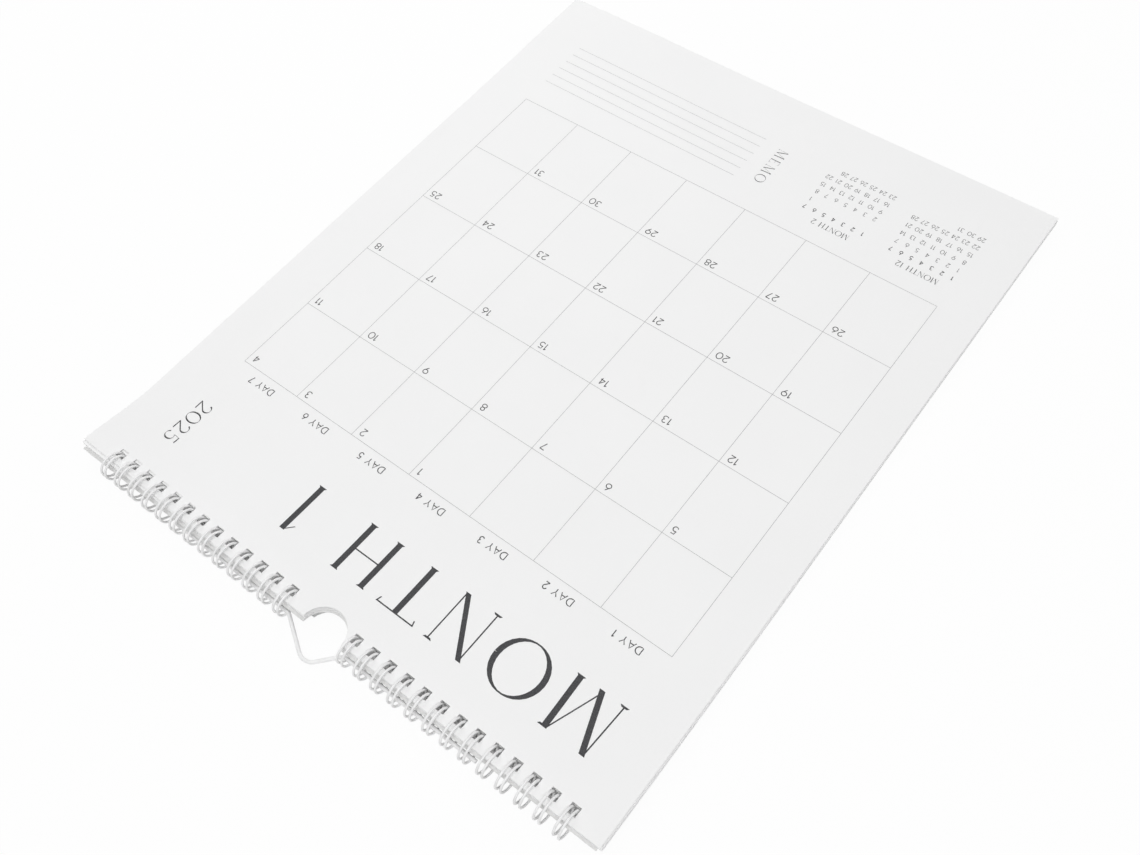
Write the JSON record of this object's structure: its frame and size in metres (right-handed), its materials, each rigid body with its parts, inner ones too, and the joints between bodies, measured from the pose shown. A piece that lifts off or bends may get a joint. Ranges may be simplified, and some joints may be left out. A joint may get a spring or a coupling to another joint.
{
  "type": "wall calendar",
  "caption": "Wall calendar with a twin-loop wire binding and a bent wire hanger, lying face up; the front leaf turns about the loops and the hanger swings.",
  "frame": {"origin": "middle of the calendar's footprint, on the surface that its back lies on", "axes": "+X to the reader's right, +Y towards the bound edge, +Z out of the front leaf"},
  "size_m": [0.2722, 0.351, 0.0122],
  "materials": {
    "leaf": "uncoated white paper",
    "card": "uncoated white card",
    "binding_wire": "white nylon-coated steel wire, satin",
    "hanger_wire": "white coated steel wire, satin"
  },
  "bodies": {
    "calendar": {"back_sheet": "card", "month_sheets": "leaf", "wire_left": "binding_wire", "wire_right": "binding_wire"},
    "front_sheet": {"front_sheet": "leaf"},
    "hanger": {"hanger": "hanger_wire"}
  },
  "joints": [
    {"name": "front_sheet_turn", "type": "hinge", "parent": "calendar", "child": "front_sheet", "pos_m": [0, 0.1627, 0.0061], "axis": [-1, 0, 0], "range_deg": [0, 170]},
    {"name": "hanger_swing", "type": "hinge", "parent": "calendar", "child": "hanger", "pos_m": [-0.00535, 0.16503, 0.00266], "axis": [1, 0, 0], "range_deg": [0, 25]}
  ]
}
